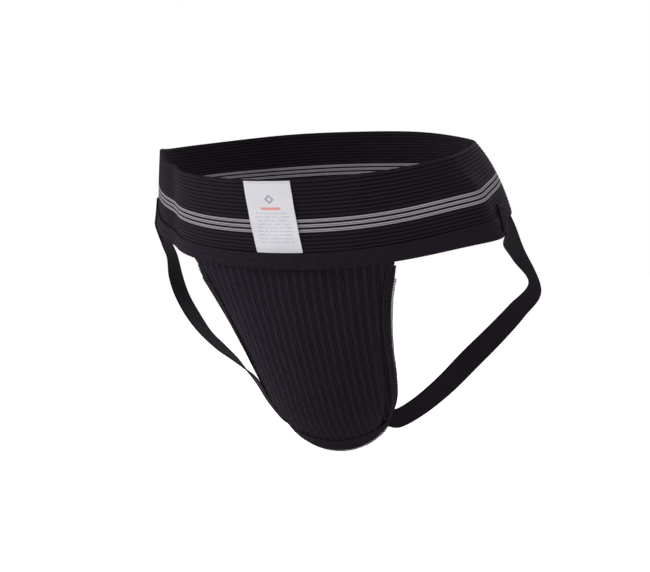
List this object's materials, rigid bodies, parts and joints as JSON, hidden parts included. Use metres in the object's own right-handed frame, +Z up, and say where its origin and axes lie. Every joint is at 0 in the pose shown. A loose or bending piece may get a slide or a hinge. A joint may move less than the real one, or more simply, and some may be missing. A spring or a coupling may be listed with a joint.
{
  "type": "groin protector",
  "caption": "Wearable groin protector: ribbed elastic waistband, knitted pouch with leg straps, and a vented hard cup that lifts out of the pouch.",
  "frame": {"origin": "centre of the ring made by the top rim of the waistband", "axes": "+Z up along the wearer, -Y out of the wearer's front, +X to the wearer's left"},
  "size_m": [0.3595, 0.2599, 0.2982],
  "materials": {
    "ribbed_elastic": "woven, matte",
    "plain_elastic": "woven, slight sheen",
    "rib_knit": "knitted, matte",
    "picot_elastic": "knitted, matte",
    "label_satin": "satin",
    "thread_dark": "spun thread",
    "thread_light": "spun thread",
    "cup_plastic": "moulded, satin",
    "cup_rubber": "soft, matte"
  },
  "bodies": {
    "supporter": {"waistband": "ribbed_elastic", "waistband_seam_stitching": "thread_dark", "lower_edge_tape": "plain_elastic", "tape_stitching": "thread_dark", "label": "label_satin", "label_stitching": "thread_light", "pouch_panel": "rib_knit", "leg_edging_left": "picot_elastic", "leg_edging_right": "picot_elastic", "leg_edging_stitching": "thread_dark", "pouch_bottom_hem": "picot_elastic", "bottom_hem_stitching": "thread_dark", "leg_strap_left": "plain_elastic", "leg_strap_right": "plain_elastic", "strap_top_tacks": "thread_dark", "strap_bottom_tacks": "thread_dark"},
    "cup": {"cup_shell": "cup_plastic", "cup_cushion": "cup_rubber"}
  },
  "joints": [
    {"name": "cup_lift", "type": "slide", "parent": "supporter", "child": "cup", "axis": [0, 0, 1], "range_m": [0, 0.29]}
  ]
}
